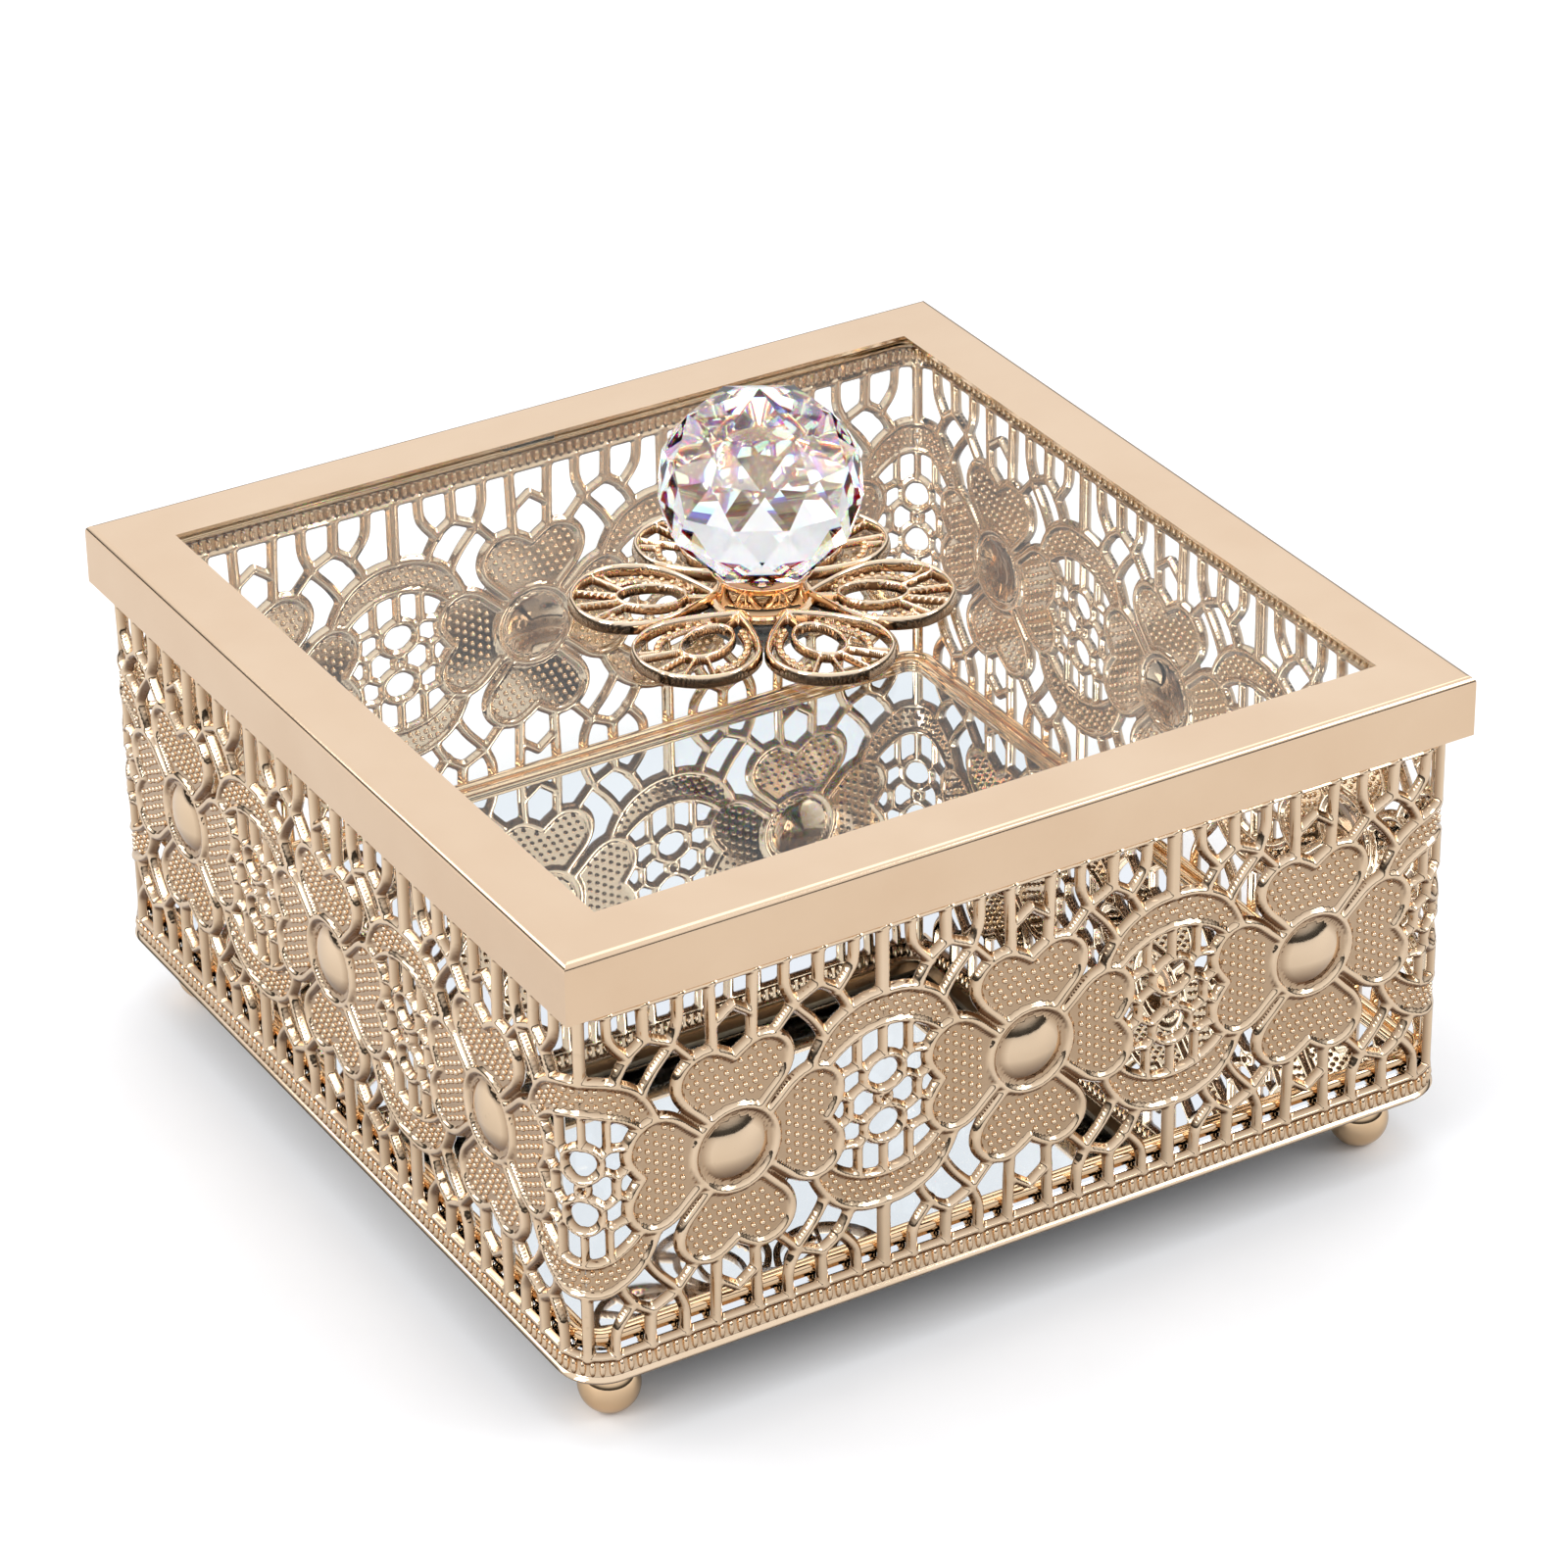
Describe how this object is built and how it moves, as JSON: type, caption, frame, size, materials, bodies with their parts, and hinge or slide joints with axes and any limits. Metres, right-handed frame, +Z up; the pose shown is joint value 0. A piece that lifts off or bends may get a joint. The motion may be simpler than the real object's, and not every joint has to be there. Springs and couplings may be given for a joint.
{
  "type": "vanity trinket box",
  "caption": "Square gold filigree trinket box on ball feet with a mirror floor and a lift-off glass lid that has a cut crystal ball knob on an open petal rosette.",
  "frame": {"origin": "middle of the square footprint, on the surface that the ball feet stand on", "axes": "+Z up through the crystal knob, +X to the right along the front wall, front wall faces -Y"},
  "size_m": [0.15, 0.15, 0.1164],
  "materials": {
    "gold_filigree": "pale champagne gold plating on cast relief, polished on the ridges and darker in the recesses",
    "gold_satin": "pale champagne gold plating, fine satin polish",
    "gold_polished": "pale rose gold plating, mirror polish",
    "gold_plate": "gold plated sheet",
    "pane_glass": "clear float glass",
    "crystal": "cut lead crystal with flat polished facets",
    "mirror_glass": "silvered mirror plate with a polished bevel",
    "grey_card": "grey board, matte",
    "felt": "short black felt",
    "clear_adhesive": "clear silicone bed",
    "clear_rubber": "clear silicone",
    "steel": "plated steel"
  },
  "bodies": {
    "box": {"wall_band": "gold_filigree", "base_plate": "gold_plate", "mirror_card": "grey_card", "mirror": "mirror_glass", "mirror_bezel": "gold_polished", "base_felt": "felt", "foot_washers": "steel", "foot_screws": "steel", "foot_front_left": "gold_polished", "foot_front_right": "gold_polished", "foot_rear_left": "gold_polished", "foot_rear_right": "gold_polished"},
    "lid": {"lid_frame": "gold_satin", "glass_bed": "clear_adhesive", "lid_glass": "pane_glass", "glass_retainer": "gold_plate", "lid_bumpers": "clear_rubber", "rosette_pad": "clear_rubber", "rosette": "gold_polished", "knob_collar": "gold_polished", "crystal_ball": "crystal", "rubber_washer": "clear_rubber", "steel_washer": "steel", "knob_screw": "steel"}
  },
  "joints": [
    {"name": "lid_lift", "type": "slide", "parent": "box", "child": "lid", "axis": [0, 0, 1], "range_m": [0, 0.09]}
  ]
}
